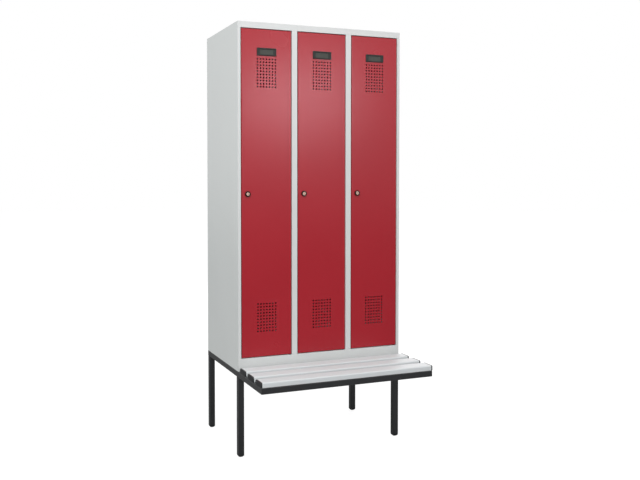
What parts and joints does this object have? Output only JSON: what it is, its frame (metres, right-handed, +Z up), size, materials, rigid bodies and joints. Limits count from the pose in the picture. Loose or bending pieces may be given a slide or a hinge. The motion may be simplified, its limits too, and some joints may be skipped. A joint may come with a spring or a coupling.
{
  "type": "locker with bench",
  "caption": "Steel cloakroom locker with hinged, cam-locked doors on a square-tube base that runs forward as a slatted bench.",
  "frame": {"origin": "on the floor, in the middle of the whole footprint", "axes": "+X right as seen from the front, +Y to the back, +Z up"},
  "size_m": [0.904, 0.808, 2.13],
  "materials": {
    "frame_black": "fine-textured matt powder coat",
    "black_plastic": "moulded, matt",
    "slat_plastic": "extruded, satin",
    "grey_paint": "satin powder coat",
    "red_paint": "satin powder coat",
    "bright_steel": "zinc plated",
    "buffer_rubber": "matt",
    "label_plastic": "moulded, matt",
    "label_card": "smooth sheet",
    "dark_metal": "dark, satin",
    "lock_chrome": "polished"
  },
  "bodies": {
    "cabinet": {"left_side_rail": "frame_black", "right_side_rail": "frame_black", "bench_front_tube": "frame_black", "rear_cross_tube": "frame_black", "front_cross_tube": "frame_black", "bench_middle_bearer": "frame_black", "front_left_leg": "frame_black", "front_right_leg": "frame_black", "rear_left_leg": "frame_black", "rear_right_leg": "frame_black", "foot_glides": "black_plastic", "front_slat": "slat_plastic", "middle_slat": "slat_plastic", "rear_slat": "slat_plastic", "slat_end_caps": "black_plastic", "left_side_panel": "grey_paint", "right_side_panel": "grey_paint", "left_partition": "grey_paint", "right_partition": "grey_paint", "back_panel": "grey_paint", "top_panel": "grey_paint", "bottom_panel": "grey_paint", "left_hat_shelf": "grey_paint", "left_clothes_rail": "bright_steel", "middle_hat_shelf": "grey_paint", "middle_clothes_rail": "bright_steel", "right_hat_shelf": "grey_paint", "right_clothes_rail": "bright_steel", "coat_hooks": "bright_steel", "hinge_bushes": "black_plastic", "door_buffers": "buffer_rubber"},
    "left_door": {"left_door": "red_paint", "left_door_stiffener": "grey_paint", "left_towel_rail": "bright_steel", "left_hinge_pins": "bright_steel", "left_label_frame": "label_plastic", "left_label_card": "label_card", "left_lock_housing": "dark_metal"},
    "left_lock": {"left_lock_plug": "lock_chrome", "left_lock_cam": "bright_steel"},
    "middle_door": {"middle_door": "red_paint", "middle_door_stiffener": "grey_paint", "middle_towel_rail": "bright_steel", "middle_hinge_pins": "bright_steel", "middle_label_frame": "label_plastic", "middle_label_card": "label_card", "middle_lock_housing": "dark_metal"},
    "middle_lock": {"middle_lock_plug": "lock_chrome", "middle_lock_cam": "bright_steel"},
    "right_door": {"right_door": "red_paint", "right_door_stiffener": "grey_paint", "right_towel_rail": "bright_steel", "right_hinge_pins": "bright_steel", "right_label_frame": "label_plastic", "right_label_card": "label_card", "right_lock_housing": "dark_metal"},
    "right_lock": {"right_lock_plug": "lock_chrome", "right_lock_cam": "bright_steel"}
  },
  "joints": [
    {"name": "left_door_hinge", "type": "hinge", "parent": "cabinet", "child": "left_door", "pos_m": [-0.177, -0.09, 1.29375], "axis": [0, 0, 1], "range_deg": [0, 110]},
    {"name": "left_lock_turn", "type": "hinge", "parent": "left_door", "child": "left_lock", "pos_m": [-0.4, -0.096, 1.2935], "axis": [0, 1, 0], "range_deg": [0, 90]},
    {"name": "middle_door_hinge", "type": "hinge", "parent": "cabinet", "child": "middle_door", "pos_m": [0.123, -0.09, 1.29375], "axis": [0, 0, 1], "range_deg": [0, 110]},
    {"name": "middle_lock_turn", "type": "hinge", "parent": "middle_door", "child": "middle_lock", "pos_m": [-0.1, -0.096, 1.2935], "axis": [0, 1, 0], "range_deg": [0, 90]},
    {"name": "right_door_hinge", "type": "hinge", "parent": "cabinet", "child": "right_door", "pos_m": [0.423, -0.09, 1.29375], "axis": [0, 0, 1], "range_deg": [0, 110]},
    {"name": "right_lock_turn", "type": "hinge", "parent": "right_door", "child": "right_lock", "pos_m": [0.2, -0.096, 1.2935], "axis": [0, 1, 0], "range_deg": [0, 90]}
  ]
}
